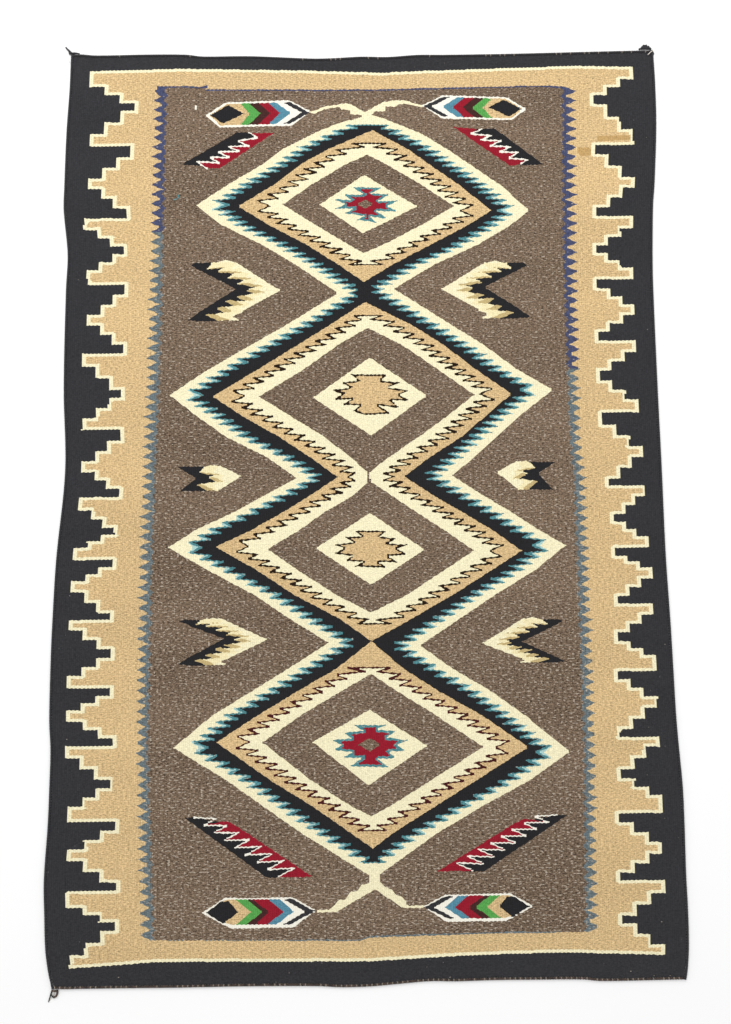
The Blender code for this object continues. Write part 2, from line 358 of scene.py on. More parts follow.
def tooth_run(place, start, stop, pitch, reach, closed):
    """Teeth along one edge, from its side corner at height start towards stop.

    place gives x at a height and a distance from the edge. closed says that the
    run ends at a level top or bottom, and else at a waist's tip.
    """
    span = abs(stop - start)
    way = 1.0 if stop > start else -1.0
    spare = 1 - FIRST_TOOTH - (0.0 if closed else LAST_TOOTH)
    count = max(2 if closed else 1, round(span / pitch + spare))
    pitch = span / (count - spare)
    points = []
    for index in range(count):
        y = start + way * pitch * (index + FIRST_TOOTH)
        tip = place(y, reach[0])
        points.append((tip, y))
        if closed and index == count - 1:
            break
        deepest = closed and index == count - 2
        nose = place(y, reach[1] + (END_REACH if deepest else 0.0))
        points.append((nose, y + way * TOOTH_TILT * abs(nose - tip)))
    return points


def toothed_outline(group, level, reach, neck, far_flat, near_flat):
    """One closed toothed outline inside a column of joined diamonds."""
    sides = []
    for side, inward in ((0, 1.0), (1, -1.0)):
        paths = [edge_path(index, level, side) for index in group]
        heights = [CORNERS_OF[level][index][2 * side][1] for index in group]
        stops = [far_flat]
        for upper, lower, high, low in zip(paths, paths[1:], heights, heights[1:]):
            rows = np.arange(low, high, WAIST_STEP)
            gaps = [abs(edge_x(upper, y) - edge_x(lower, y)) for y in rows]
            stops.append(float(rows[int(np.argmin(gaps))]))
        stops.append(near_flat)
        points = []
        for turn, path in enumerate(paths):
            start = heights[turn]

            def place(y, distance):
                x = edge_x(path, y) + inward * distance
                least = neck[2]
                if turn == 0 and y >= start:
                    least = neck[0]
                elif turn == len(paths) - 1 and y < start:
                    least = neck[1]
                limit = read_row(MIDDLE_LINE, y, 1) - inward * least
                return min(x, limit) if inward > 0 else max(x, limit)

            last = turn == len(paths) - 1
            pitch = LINE_PITCH if level else TOOTH_PITCHES[group[turn]]
            far_run = tooth_run(place, start, stops[turn], pitch, reach, turn == 0)
            points.extend(reversed(far_run))
            points.append((place(start, reach[1]), start))
            points.extend(tooth_run(place, start, stops[turn + 1], pitch, reach, last))
            if not last:
                points.append((place(stops[turn + 1], reach[0]), stops[turn + 1]))
        sides.append(points)
    return sides[0] + sides[1][::-1]


def terrace(rows):
    """Points of a stepped side, from its far end to its near end."""
    points = []
    for index, (x, upper, lower) in enumerate(rows):
        points.append((x, upper))
        points.append((x, lower))
        if index + 1 == len(rows):
            break
        after_x, after_upper, _ = rows[index + 1]
        if lower - after_upper < LEAST_STEP:
            continue
        third = (after_x - x) / 3
        middle = (lower + after_upper) / 2
        points += [(x + third, lower), (x + third, middle)]
        points += [(x + 2 * third, middle), (x + 2 * third, after_upper)]
    return points


def read_row(table, y, column):
    """One column of a side table at height y, straight between its rows."""
    places = [row[0] for row in table]
    values = [row[column] for row in table]
    return float(np.interp(-y, [-place for place in places], values))


def field_side(table, inward):
    """Zigzag of one side of the field, and its seam with the brown inside."""
    top = table[0][0]
    bottom = table[-1][0]
    count = round((top - bottom) / FIELD_PITCH)
    pitch = (top - bottom) / count
    teeth = []
    seam = []
    for index in range(2 * count + 1):
        y = top - pitch / 2 * index
        inside = read_row(table, y, 2)
        teeth.append((read_row(table, y, 1) if index % 2 else inside, y))
        seam.append((inside + inward * (SEAM_LEAST if index % 2 else SEAM_REACH), y))
    return teeth, seam


def paint_border():
    edge = TOP_LINE + terrace(RIGHT_TERRACE) + BOTTOM_LINE + terrace(LEFT_TERRACE)[::-1]
    paint("cream", edge)
    paint("tan", [(x - math.copysign(SIDE_EXTRA, x), y) for x, y in inset(edge, OUTLINE_WIDTH)])
    left, left_seam = field_side(FIELD_LEFT, 1)
    right, right_seam = field_side(FIELD_RIGHT, -1)
    for points in HONEY_BANDS:
        paint("honey", points)
    paint("slate", FIELD_TOP[1:-1] + right + FIELD_BOTTOM + left[::-1])
    for teeth, seam, until in zip((left, right), (left_seam, right_seam), VIOLET_ENDS):
        upper = [point for point in teeth if point[1] > until]
        lower = [point for point in seam if point[1] > until]
        paint("violet", upper + lower[::-1])
    paint("violet", FIELD_TOP + [(x, y - VIOLET_DEPTH) for x, y in reversed(FIELD_TOP)])
    top = [(x, y - FIELD_LINE) for x, y in FIELD_TOP[1:-1]]
    left_seam[0] = (left_seam[0][0], FIELD_TOP[0][1] - FIELD_LINE)
    right_seam[0] = (right_seam[0][0], FIELD_TOP[-1][1] - FIELD_LINE)
    bottom = [(x, y + FIELD_LINE) for x, y in FIELD_BOTTOM]
    paint("brown", top + right_seam + bottom + left_seam[::-1])


def paint_diamonds():
    for index in range(4):
        paint("cream", diamond(index, 0))
    for colour, tip, nose in TOOTH_REACHES:
        ends = (MIDDLE_LINE[0][0], MIDDLE_LINE[-1][0])
        teeth = toothed_outline(range(4), 0, (tip, nose), TEAL_NECK, *ends)
        paint(colour, teeth)
    stroke("teal", teeth, TEAL_LINE)
    for index in range(4):
        paint("tan", diamond(index, 1))
    for group, far_flat, near_flat, colour in ZIGZAGS:
        line = toothed_outline(group, 1, LINE_REACH, LINE_NECK, far_flat, near_flat)
        paint("cream", line)
        stroke(colour, line, LINE_WIDTH)
    for index in range(4):
        paint("brown", diamond(index, 2))
    paint("brown", BROWN_NECK)
    paint("cream", CREAM_NECK)
    for corners in SMALL_DIAMONDS:
        paint("cream", corners)


# Stars at the middle of the small diamonds, clockwise from the upper left tip
STARS = (
    ("teal", "red", 4.0, (
        (-14, 587), (40, 586), (22, 575), (56, 573), (35, 560), (72, 561), (51, 550), (70, 540),
        (31, 541), (50, 526), (19, 530), (31, 518), (-6, 524), (9, 531), (-29, 537), (-10, 546),
        (-49, 546), (-27, 554), (-49, 565), (-15, 562), (-30, 573), (8, 572),
    )),
    ("line", "tan", 3.0, (
        (-19, 231), (48, 230), (36, 219), (70, 215), (50, 206), (89, 200), (70, 192), (88, 181),
        (54, 182), (71, 167), (30, 173), (54, 157), (5, 155), (-15, 162), (-3, 173), (-36, 174),
        (-18, 185), (-53, 183), (-34, 195), (-57, 202), (-20, 206), (-38, 216), (-6, 219),
    )),
    ("line", "tan", 3.0, (
        (-15, -57), (44, -58), (31, -68), (61, -72), (45, -81), (81, -83), (62, -90), (80, -101),
        (45, -104), (63, -115), (28, -114), (44, -125), (-16, -122), (0, -114), (-32, -112),
        (-19, -103), (-52, -98), (-34, -89), (-53, -82), (-17, -78), (-33, -69), (-2, -67),
    )),
    ("teal", "red", 4.2, (
        (-19, -404), (40, -404), (22, -412), (57, -415), (40, -426), (76, -431), (57, -440),
        (74, -450), (43, -450), (55, -463), (24, -463), (42, -478), (-26, -476), (-3, -461),
        (-38, -461), (-21, -451), (-56, -447), (-41, -439), (-58, -429), (-23, -427),
        (-37, -417), (-2, -414),
    )),
)
STAR_MIDDLES = (
    ((-6, 554), (10, 563), (26, 554), (10, 546)),
    ((-11, -438), (10, -426), (28, -439), (9, -450)),
)

# Chevrons, drawn once and fitted to each place: x from the black tips (0) to
# the cream point (1), y from the lower side (-1) to the upper side (1)
CHEVRON_BACK = (
    (0.01, 0.83), (0.06, 0.93), (0.28, 0.92), (0.72, 0.10), (0.72, -0.10), (0.33, -1.00),
    (0.21, -1.00), (-0.01, -0.96), (0.105, -0.70), (0.505, 0.04), (0.43, 0.17),
)
CHEVRON_TEETH = (
    (0.25, 0.92), (0.186, 0.70), (0.36, 0.744), (0.305, 0.603), (0.488, 0.56), (0.408, 0.397),
    (0.601, 0.354), (0.527, 0.213), (0.707, 0.105), (0.623, -0.016), (0.71, -0.10),
    (0.513, -0.21), (0.601, -0.341), (0.397, -0.351), (0.485, -0.505), (0.299, -0.58),
    (0.375, -0.721), (0.175, -0.797), (0.316, -0.984),
)
CHEVRON_FRONT = (
    (0.404, -0.97), (0.921, -0.134), (1.0, 0.0), (0.929, 0.105), (0.505, 0.931), (0.389, 1.0),
    (0.295, 0.931),
)
SMALL_BACK = (
    (-0.015, 0.92), (0.434, 0.95), (0.62, 0.1), (0.62, -0.4), (0.47, -0.96), (0.036, -1.0),
    (0.29, 0.016),
)
SMALL_TEETH = (
    (0.434, 0.95), (0.332, 0.43), (0.564, 0.244), (0.484, 0.016), (0.608, -0.285),
    (0.296, -0.47), (0.464, -0.96),
)
SMALL_FRONT = ((0.638, -0.96), (1.0, 0.146), (0.666, 0.99), (0.492, 1.03))
SHADE_LENGTH = 0.11
SHADE_BASE = 0.7
SHADE_DROPS = (0.03, 0.05)
CREAM_SHARE = 0.34

# Columns: x of the black tips, x of the cream point, upper y, middle y, lower y
LARGE_CHEVRONS = (
    (-317, -148, 449, 391, 333), (312, 149, 443, 391, 333),
    (-332, -172, -212, -251, -297), (359, 212, -216, -261, -297),
)
SMALL_CHEVRONS = ((-336, -220, 64, 41, 17), (351, 245, 67, 44, 14))

# Bars. The upper two are listed point by point: black part, red part, white line
UPPER_BARS = (
    (
        ((-335, 633), (-230, 696), (-206, 696), (-193, 684), (-245, 650), (-284, 628), (-298, 631)),
        ((-204, 694), (-161, 694), (-262, 626), (-288, 627), (-245, 650), (-193, 684)),
        ((-208, 696), (-191, 685), (-229, 679), (-208, 669), (-246, 668), (-226, 659), (-265, 658),
         (-244, 647), (-282, 648), (-262, 636), (-306, 640), (-286, 626)),
    ),
    (
        ((223, 699), (255, 699), (345, 628), (303, 627), (280, 652), (211, 690)),
        ((177, 703), (228, 698), (211, 690), (280, 652), (306, 630), (290, 626), (281, 627)),
        ((230, 698), (210, 689), (248, 685), (228, 677), (266, 675), (245, 665), (284, 663),
         (263, 653), (298, 652), (279, 641), (315, 638), (302, 629)),
    ),
)

# The lower two are drawn once: x from the black tip (0) to the red tip (1), y 0 to -1
BAR_BLACK = [(0.0, 0.0), (0.07, 0.013), (0.25, -0.06), (0.72, -1.0), (0.64, -0.99)]
BAR_RED = [(0.327, -0.05), (0.405, -0.137), (1.0, -0.987), (0.77, -0.987)]
BAR_START = (0.07, 0.01)
BAR_UPPER = ((0.248, -0.012), (0.863, -0.836))
BAR_LOWER = ((0.143, -0.124), (0.725, -0.987))
BAR_LINES = {"upper": 2.9, "lower": 2.2}
STEEP_LINE = 1.2
STEEP_SHARE = 0.8
# Columns: black tip x, y, red tip x, y, teeth
LOWER_BARS = ((-318, -563, -93, -667, 8), (356, -564, 127, -659, 8))

# Feathers, drawn once: x from the outer tip (0) to the quill (1), y -1 to 1.
# Columns of a band: colour, then x at the upper side, middle and lower side
LOWER_EDGE = ((0.0, 0.0), (0.20, 0.98), (0.80, 0.95), (1.0, 0.06), (0.80, -1.08), (0.25, -1.08))
UPPER_EDGE = ((0.0, 0.0), (0.19, 0.98), (0.80, 1.02), (1.0, 0.06), (0.81, -1.03), (0.135, -1.0))
LOWER_BANDS = (
    ("tan", 0.20, 0.30, 0.25), ("green", 0.30, 0.425, 0.30), ("umber", 0.395, 0.526, 0.388),
    ("red", 0.44, 0.588, 0.47), ("blue", 0.588, 0.713, 0.573), ("white", 0.677, 0.803, 0.654),
    ("black", 0.715, 0.905, 0.715), ("white", 0.79, 0.99, 0.775),
)
UPPER_BANDS = (
    ("tan", 0.20, 0.30, 0.20), ("green", 0.333, 0.415, 0.333), ("umber", 0.41, 0.518, 0.41),
    ("red", 0.50, 0.61, 0.50), ("blue", 0.60, 0.705, 0.60), ("white", 0.667, 0.807, 0.667),
    ("black", 0.74, 0.91, 0.74), ("white", 0.805, 0.985, 0.805),
)
LOWER_EYE = ((0.036, 0.0), (0.168, 0.74), (0.235, 0.78), (0.312, 0.02), (0.19, -0.80))
UPPER_EYE = ((0.043, 0.0), (0.215, 0.78), (0.362, 0.05), (0.165, -0.72))
FEATHER_BAND_HEIGHT = 0.86
TIP_EDGE = 0.17
TIP_START = (0.04, 0.0)
# Columns: outer tip x, y, quill x, y, half height
FEATHERS = (
    (-289, 730, -91, 734, 24.5), (315, 737, 119, 744, 22.5),
    (-287, -725, -87, -724, 25), (293, -719, 101, -719, 22.5),
)

# Quills between the feathers and the diamonds
QUILLS = (
    ((-102, 733), (-83, 737), (-66, 745), (-44, 748), (-23, 752), (-14, 749), (2, 738),
     (10, 733), (20, 728), (4, 723), (3, 728), (-15, 730), (-16, 738), (-34, 739), (-36, 744),
     (-66, 740), (-83, 732)),
    ((10, 733), (13, 734), (29, 744), (44, 752), (62, 756), (83, 756), (102, 751), (119, 746),
     (119, 742), (100, 747), (75, 750), (71, 744), (49, 744), (48, 735), (28, 735), (24, 727)),
    ((16, -669), (4, -678), (-8, -680), (-14, -690), (-28, -692), (-36, -704), (-48, -706),
     (-56, -716), (-62, -721), (-87, -723), (-87, -727), (-50, -725), (-38, -718), (17, -687)),
    ((16, -669), (27, -676), (34, -684), (46, -688), (52, -697), (62, -699), (70, -709),
     (74, -716), (102, -716), (102, -720), (64, -720), (17, -687)),
)


def fitted(points, left, right, middle, up, down, rise=0.0):
    """Drawn points moved to their place: x from left to right, y about a middle that rises."""
    return [
        (left + (right - left) * x, middle + rise * x + y * (up if y > 0 else down))
        for x, y in points
    ]


def chevron(row, back, teeth, front):
    """A chevron: black tails, then pale teeth that are shaded below."""
    tip, point, upper, middle, lower = row
    size = (tip, point, middle, upper - middle, middle - lower)
    paint("ink", fitted(back, *size))
    paint("straw", fitted(teeth + front, *size))
    inner = [(x + CREAM_SHARE * (1 - x), y) for x, y in teeth]
    paint("cream", fitted(inner + list(front), *size))
    for (bx, by), (cx, cy) in zip(teeth[1::2], teeth[2::2]):
        tip_shade = (cx + SHADE_LENGTH, cy + SHADE_DROPS[0])
        base_shade = (bx + SHADE_LENGTH * SHADE_BASE, by + SHADE_DROPS[1])
        paint("olive", fitted(((bx, by), (cx, cy), tip_shade, base_shade), *size))


def white_line(points, width):
    """A zigzag line of even width, wider where it runs steeply."""
    for (ax, ay), (bx, by) in zip(points, points[1:]):
        level = abs(bx - ax) > STEEP_LINE * abs(by - ay)
        half = (0.0, width / 2) if level else (width * STEEP_SHARE, 0.0)
        paint("white", (
            (ax - half[0], ay + half[1]), (bx - half[0], by + half[1]),
            (bx + half[0], by - half[1]), (ax + half[0], ay - half[1]),
        ))


def lower_bar(black_x, black_y, red_x, red_y, teeth):
    size = (black_x, red_x, black_y, black_y - red_y, black_y - red_y)
    upper = [mix(*BAR_UPPER, index / (teeth - 1)) for index in range(teeth)]
    lower = [mix(*BAR_LOWER, index / (teeth - 1)) for index in range(teeth)]
    zigzag = [point for pair in zip(upper, lower) for point in pair]
    paint("ink", fitted(BAR_BLACK[:3] + upper[1:] + BAR_BLACK[3:], *size))
    paint("red", fitted(BAR_RED + lower[-1:] + zigzag[-2:0:-1], *size))
    white_line(fitted([BAR_START] + zigzag, *size), BAR_LINES["lower"])


def feather(outer_x, outer_y, quill_x, quill_y, half):
    size = (outer_x, quill_x, outer_y, half, half, quill_y - outer_y)
    upper = outer_y > 0
    edge = UPPER_EDGE if upper else LOWER_EDGE
    bands = UPPER_BANDS if upper else LOWER_BANDS
    paint("white", fitted(edge, *size))
    height = FEATHER_BAND_HEIGHT
    for (colour, high, middle, low), after in zip(bands, bands[1:]):
        paint(colour, fitted((
            (high, height), (middle, 0.0), (low, -height),
            (after[3], -height), (after[2], 0.0), (after[1], height),
        ), *size))
    _, high, middle, low = bands[1]
    paint("tan", fitted((
        edge[0], (edge[1][0], height), (high, height), (middle, 0.0),
        (low, -height), (edge[-1][0], -height),
    ), *size))
    for (x, y), way in ((edge[1], 1), (edge[-1], -1)):
        paint("white", fitted((edge[0], (x, y), (x, y - TIP_EDGE * way), TIP_START), *size))
    paint("ink", fitted(UPPER_EYE if upper else LOWER_EYE, *size))


def paint_figures():
    for outline, fill, width, points in STARS:
        paint(outline, points)
        paint(fill, inset(points, width))
    for points in STAR_MIDDLES:
        paint("brown", points)
    for row in LARGE_CHEVRONS:
        chevron(row, CHEVRON_BACK, CHEVRON_TEETH, CHEVRON_FRONT)
    for row in SMALL_CHEVRONS:
        chevron(row, SMALL_BACK, SMALL_TEETH, SMALL_FRONT)
    for black, red, line in UPPER_BARS:
        paint("red", red)
        paint("ink", black)
        for index in range(1, len(line) - 2, 2):
            paint("red", line[index:index + 3])
        white_line(line, BAR_LINES["upper"])
    for row in LOWER_BARS:
        lower_bar(*row)
    for points in QUILLS:
        paint("cream", points)
    for row in FEATHERS:
        feather(*row)
    for colour, x, y, width, height in LOOSE_SPECKS:
        paint(colour, ((x, y), (x + width, y), (x + width, y + height), (x, y + height)))


def curve(t, start, leave, end, arrive):
    """A place at t, from 0 to 1, of a smooth curve with given slopes at its ends."""
    return (
        (2 * t**3 - 3 * t**2 + 1) * start
        + (t**3 - 2 * t**2 + t) * leave
        + (3 * t**2 - 2 * t**3) * end
        + (t**3 - t**2) * arrive
    )


def edge_reader(table, column):
    """A smooth curve through one column of an outline table: height and slope."""
    places = np.array([row[0] for row in table]) * MM
    values = np.array([row[column] for row in table]) * MM
    last = len(table) - 1
    before = np.maximum(np.arange(last + 1) - 1, 0)
    after = np.minimum(np.arange(last + 1) + 1, last)
    slopes = (values[after] - values[before]) / (places[after] - places[before])

    def read(place):
        place = np.clip(place, places[0], places[-1])
        row = np.clip(np.searchsorted(places, place, side="left") - 1, 0, last - 1)
        span = places[row + 1] - places[row]
        t = (place - places[row]) / span
        start = values[row]
        end = values[row + 1]
        leave = slopes[row] * span
        arrive = slopes[row + 1] * span
        height = curve(t, start, leave, end, arrive)
        slope = (
            (6 * t**2 - 6 * t) * (start - end)
            + (3 * t**2 - 4 * t + 1) * leave
            + (3 * t**2 - 2 * t) * arrive
        ) / span
        return height, slope

    return read


left_edge = edge_reader(SIDE_EDGES, 1)
right_edge = edge_reader(SIDE_EDGES, 2)
near_edge = edge_reader(END_EDGES, 1)
far_edge = edge_reader(END_EDGES, 2)


def moved_edge(reader, place, distance):
    height, slope = reader(place)
    return height + distance * np.hypot(1.0, slope)


def rug_place(u, v, side_inset, end_inset):
    """x and y on the rug at u across and v along, 0 to 1 inside its edges."""
    x = (u - 0.5) * ROUGH_SIZE[0]
    y = (v - 0.5) * ROUGH_SIZE[1]
    for _ in range(SOLVER_ROUNDS):
        left = moved_edge(left_edge, y, side_inset)
        right = moved_edge(right_edge, y, -side_inset)
        x = left * (1 - u) + right * u
        near = moved_edge(near_edge, x, end_inset)
        far = moved_edge(far_edge, x, -end_inset)
        y = near * (1 - v) + far * v
    return x, y


def weave_place(x, y):
    """Warp and pass, as numbers with fractions, of a point of the cloth."""
    left = moved_edge(left_edge, y, CLOTH_INSET)
    right = moved_edge(right_edge, y, -CLOTH_INSET)
    near = moved_edge(near_edge, x, CLOTH_INSET)
    far = moved_edge(far_edge, x, -CLOTH_INSET)
    return WARPS * (x - left) / (right - left), PASSES * (y - near) / (far - near)


def woven_colours():
    """Colour of every bead, as an array of warps by beads."""
    beads = np.zeros((WARPS, BEADS), np.int8)
    for colour, points in painting:
        outline = []
        for index, point in enumerate(points):
            after = points[(index + 1) % len(points)]
            length = math.hypot(after[0] - point[0], after[1] - point[1])
            parts = max(1, math.ceil(length / LONGEST_EDGE))
            outline.extend(mix(point, after, part / parts) for part in range(parts))
        places = np.array(outline) * MM
        warp, row = weave_place(places[:, 0], places[:, 1])
        cuts = [[] for _ in range(WARPS)]
        for index in range(len(warp)):
            after = (index + 1) % len(warp)
            low, high = sorted((warp[index], warp[after]))
            first = max(0, math.ceil(low - 0.5))
            last = min(WARPS - 1, math.ceil(high - 0.5) - 1)
            for column in range(first, last + 1):
                share = (column + 0.5 - warp[index]) / (warp[after] - warp[index])
                cuts[column].append(row[index] + (row[after] - row[index]) * share)
        for column, rows in enumerate(cuts):
            rows.sort()
            for start, end in zip(rows[0::2], rows[1::2]):
                first = max(0, math.ceil((start - column % 2 - 1) / 2))
                last = math.ceil((end - column % 2 - 1) / 2)
                beads[column, first:max(last, first)] = colour
    return beads


def column_breaks(beads):
    """For each warp, the passes where a face ends: (pass, colour below, above)."""
    columns = []
    for column in range(WARPS):
        step = EDGE_GRID_PASSES if column in (0, WARPS - 1) else GRID_PASSES
        colours = beads[column]
        grid = range(step, PASSES - END_CLEARANCE, step)
        changes = np.nonzero(colours[1:] != colours[:-1])[0] + 1
        rows = {2 * int(i) + column % 2: (int(colours[i - 1]), int(colours[i])) for i in changes}
        taken = np.array(sorted(rows)) if rows else np.array([-1e9])
        for row in grid:
            if np.min(np.abs(taken - row)) > GRID_CLEARANCE:
                bead = int(np.clip((row - column % 2) // 2, 0, BEADS - 1))
                rows[row] = (int(colours[bead]), int(colours[bead]))
        breaks = [(0.0, -1, int(colours[0]))]
        breaks += [(float(row), *rows[row]) for row in sorted(rows) if 0 < row < PASSES]
        breaks.append((float(PASSES), int(colours[-1]), -1))
        columns.append(breaks)
    return columns


def join_breaks(left, right):
    """Places on the valley between two warps where each one's breaks fall.

    Breaks between the same two colours that lie close together share a place,
    so that a colour edge runs on smoothly from warp to warp.
    """
    ours = [row for row, *_ in left]
    theirs = [row for row, *_ in right]
    i = j = 0
    while i < len(left) and j < len(right):
        gap = left[i][0] - right[j][0]
        if left[i][1:] == right[j][1:] and abs(gap) <= MERGE_PASSES:
            middle = (left[i][0] + right[j][0]) / 2
            low = max(ours[i - 1] if i else -1.0, theirs[j - 1] if j else -1.0)
            high = min(
                left[i + 1][0] if i + 1 < len(left) else PASSES + 1.0,
                right[j + 1][0] if j + 1 < len(right) else PASSES + 1.0,
            )
            if low + MERGE_ROOM < middle < high - MERGE_ROOM:
                ours[i] = middle
                theirs[j] = middle
            i += 1
            j += 1
        elif gap < 0:
            i += 1
        else:
            j += 1
    return ours, theirs


class ClothMesh:
    """Vertices and faces of the cloth, with their weave coordinates."""

    def __init__(self):
        self.places = []
        self.faces = []
        self.colours = []
        self.upper = []

    def vertex(self, warp, row, height):
        self.places.append((warp, row, height))
        return len(self.places) - 1

    def face(self, corners, colour, upper):
        cleaned = [c for k, c in enumerate(corners) if c != corners[k - 1]]
        if len(cleaned) > 2:
            self.faces.append(cleaned)
            self.colours.append(colour)
            self.upper.append(upper)


# Heights of the upper side: at the cloth's rim, one warp in, and beyond
RIM_HEIGHT = 0.0022
RIM_RIB = 0.0004
CREST_HEIGHT = CLOTH_THICKNESS


def valley_height(warp, row):
    if warp in (0, WARPS) or row <= 0 or row >= PASSES:
        return RIM_HEIGHT
    return CREST_HEIGHT - RIB_DEPTH


def crest_height(warp, row):
    if row <= 0 or row >= PASSES:
        return RIM_HEIGHT + RIM_RIB
    return CREST_HEIGHT


def between(line, start, end):
    """Vertices of a valley line from one place to another, both included."""
    rows, indices = line
    first = np.searchsorted(rows, start - TOLERANCE)
    last = np.searchsorted(rows, end + TOLERANCE)
    return indices[first:last]


def weave_side(cloth, columns, upper):
    """Faces of one side of the cloth. Returns its valley lines and its crests."""
    joined = [join_breaks(columns[i], columns[i + 1]) for i in range(WARPS - 1)]
    edges = []
    for column in range(WARPS):
        own = [row for row, *_ in columns[column]]
        to_left = joined[column - 1][1] if column else own
        to_right = joined[column][0] if column < WARPS - 1 else own
        edges.append((to_left, to_right))
    lines = []
    for warp in range(WARPS + 1):
        rows = set()
        if warp:
            rows.update(edges[warp - 1][1])
        if warp < WARPS:
            rows.update(edges[warp][0])
        rows = sorted(rows)
        height = [valley_height(warp, row) if upper else 0.0 for row in rows]
        indices = [cloth.vertex(warp, row, z) for row, z in zip(rows, height)]
        lines.append((np.array(rows), indices))
    crests = []
    for column in range(WARPS):
        breaks = columns[column]
        to_left, to_right = edges[column]
        crest = []
        if upper:
            crest = [
                cloth.vertex(column + 0.5, row, crest_height(column, row)) for row, *_ in breaks
            ]
        crests.append(crest)
        for index in range(len(breaks) - 1):
            colour = breaks[index][2]
            left = between(lines[column], to_left[index], to_left[index + 1])
            right = between(lines[column + 1], to_right[index], to_right[index + 1])
            if upper:
                top = [crest[index], crest[index + 1]]
                cloth.face(top + left[::-1], colour, True)
                cloth.face(right + top[::-1], colour, True)
            else:
                cloth.face(left + right[::-1], colour, False)
    return lines, crests


def close_rim(cloth, columns, upper, lower, crests):
    """Walls between the two sides, round all four edges."""
    for warp, order in ((0, 1), (WARPS, -1)):
        colours = columns[0 if warp == 0 else -1]
        top = upper[warp][1]
        low = lower[warp][1]
        for index in range(len(top) - 1):
            wall = [top[index], top[index + 1], low[index + 1], low[index]]
            cloth.face(wall[::order], colours[min(index, len(colours) - 2)][2], False)
    for end, order in ((0, 1), (-1, -1)):
        for column in range(WARPS):
            wall = [
                upper[column][1][end],
                lower[column][1][end],
                lower[column + 1][1][end],
                upper[column + 1][1][end],
                crests[column][end],
            ]
            colour = columns[column][0][2] if end == 0 else columns[column][-1][1]
            cloth.face(wall[::order], colour, False)


def linear(colour):
    """A colour given in 0 to 255 as a screen shows it, in light units, with alpha."""
    parts = [part / 255 for part in colour]
    return (*(p / 12.92 if p <= 0.04045 else ((p + 0.055) / 1.055) ** 2.4 for p in parts), 1.0)


class Nodes:
    """Short ways to add the nodes of one material."""

    def __init__(self, name):
        self.material = bpy.data.materials.new(name)
        self.material.use_nodes = True
        self.tree = self.material.node_tree
        self.shader = self.tree.nodes["Principled BSDF"]

    def fill(self, node, inputs):
        """Links or sets the inputs of a node, by their names or numbers."""
        for key, value in inputs.items():
            if isinstance(value, bpy.types.NodeSocket):
                self.tree.links.new(value, node.inputs[key])
            else:
                node.inputs[key].default_value = value

    def add(self, kind, inputs, **fields):
        """Adds a node and gives its outputs."""
        node = self.tree.nodes.new("ShaderNode" + kind)
        for field, value in fields.items():
            setattr(node, field, value)
        self.fill(node, inputs)
        return node.outputs

    def math(self, operation, *values):
        return self.add("Math", dict(enumerate(values)), operation=operation)[0]

    def vector(self, x, y, z=0.0):
        return self.add("CombineXYZ", {0: x, 1: y, 2: z})[0]

    def split(self, vector):
        return self.add("SeparateXYZ", {0: vector})

    def places(self):
        return self.add("TexCoord", {})["Object"]

    def chance(self, vector):
        return self.add("TexWhiteNoise", {"Vector": vector}, noise_dimensions="3D")["Value"]

    def noise(self, vector, scale=1.0, detail=2.0, roughness=0.5):
        inputs = {"Vector": vector, "Scale": scale, "Detail": detail, "Roughness": roughness}
        return self.add("TexNoise", inputs)["Fac"]

    def ramp(self, value, low, high):
        return self.add("MapRange", {"Value": value, "From Min": low, "From Max": high})["Result"]

    def blend(self, share, first, second):
        """Mixes two colours, by the numbers of the node's sockets for colours."""
        return self.add("Mix", {0: share, 6: first, 7: second}, data_type="RGBA")[2]

    def scaled(self, colour, value):
        return self.add("VectorMath", {0: colour, "Scale": value}, operation="SCALE")[0]

    def bump(self, height, distance):
        return self.add("Bump", {"Height": height, "Distance": distance})["Normal"]

    def off_middle(self, value):
        """How far a value is from the middle of its whole step, up to 1 at its ends."""
        doubled = self.math("MULTIPLY_ADD", self.math("FRACT", value), 2.0, -1.0)
        return self.math("ABSOLUTE", doubled)


WEAVE_MAP = "weave"
# Noises: grain and flecks by the metre, yarn and bands by the warp and by the pass
LENGTHWISE = 2.2
GRAIN = {"scale": 210.0, "detail": 3.0, "roughness": 0.8}
FLECK_SCALE = 175.0
YARN_STEPS = (0.13, 0.42)
BAND_STEPS = (0.006, 0.011)
FIBRE_SCALE = 2600.0
BRIGHTNESS = 1.03
DARKEST = 0.15
# Columns: how sharply the shade falls, and how deep it is
VALLEY_SHADE = (4.0, -0.06)
SEAM_SHADE = (5.0, -0.10)
FLECKS_NEAR = 0.06
FLECK_BLUR = 0.05
PALE_FLECK = ((196, 184, 168), 0.75)
DARK_FLECK = ((70, 58, 50), 0.6)
BEAD_BULGE = 0.00025
FIBRE_BULGE = 0.00010
WOOL_FINISH = {
    "Roughness": 0.92, "Specular IOR Level": 0.08, "Sheen Weight": 0.03, "Sheen Roughness": 0.5,
}


